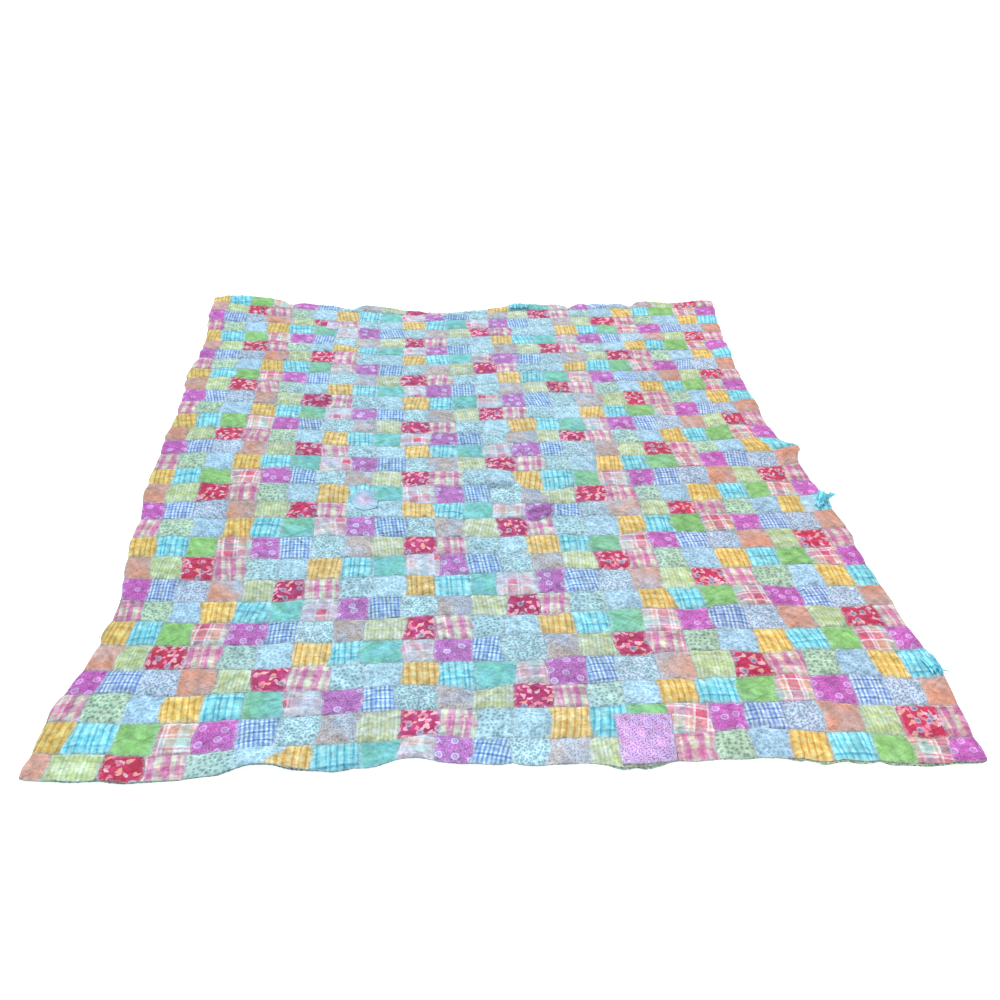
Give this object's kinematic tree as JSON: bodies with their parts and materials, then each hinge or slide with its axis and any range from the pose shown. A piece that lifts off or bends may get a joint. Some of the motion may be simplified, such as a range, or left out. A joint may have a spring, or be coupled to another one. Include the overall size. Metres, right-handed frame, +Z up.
{
  "type": "patchwork quilt",
  "caption": "Lightweight pieced quilt for a bed, laid out flat with soft folds, wavy edges, sewn-on mends and a few torn squares ruffled at its edges.",
  "frame": {"origin": "centre of the outline on the floor that the quilt lies on", "axes": "+Y along the quilt's length, away from its near end; +X to the right seen from the near end; +Z up"},
  "size_m": [1.7989, 2.2435, 0.0256],
  "materials": {
    "pieced_top": "soft washed cotton patchwork, matt",
    "backing_cloth": "soft washed cotton with small flowers, matt",
    "star_mend_cloth": "printed cotton, matt",
    "lilac_mend_cloth": "printed cotton, matt",
    "torn_cloth": "thin frayed cotton, matt"
  },
  "bodies": {
    "root": {"quilt_top": "pieced_top", "backing": "backing_cloth", "square_mend": "star_mend_cloth", "round_mend": "lilac_mend_cloth", "small_mend": "lilac_mend_cloth", "torn_square": "torn_cloth", "frayed_front": "torn_cloth", "frayed_far": "torn_cloth"}
  },
  "joints": []
}
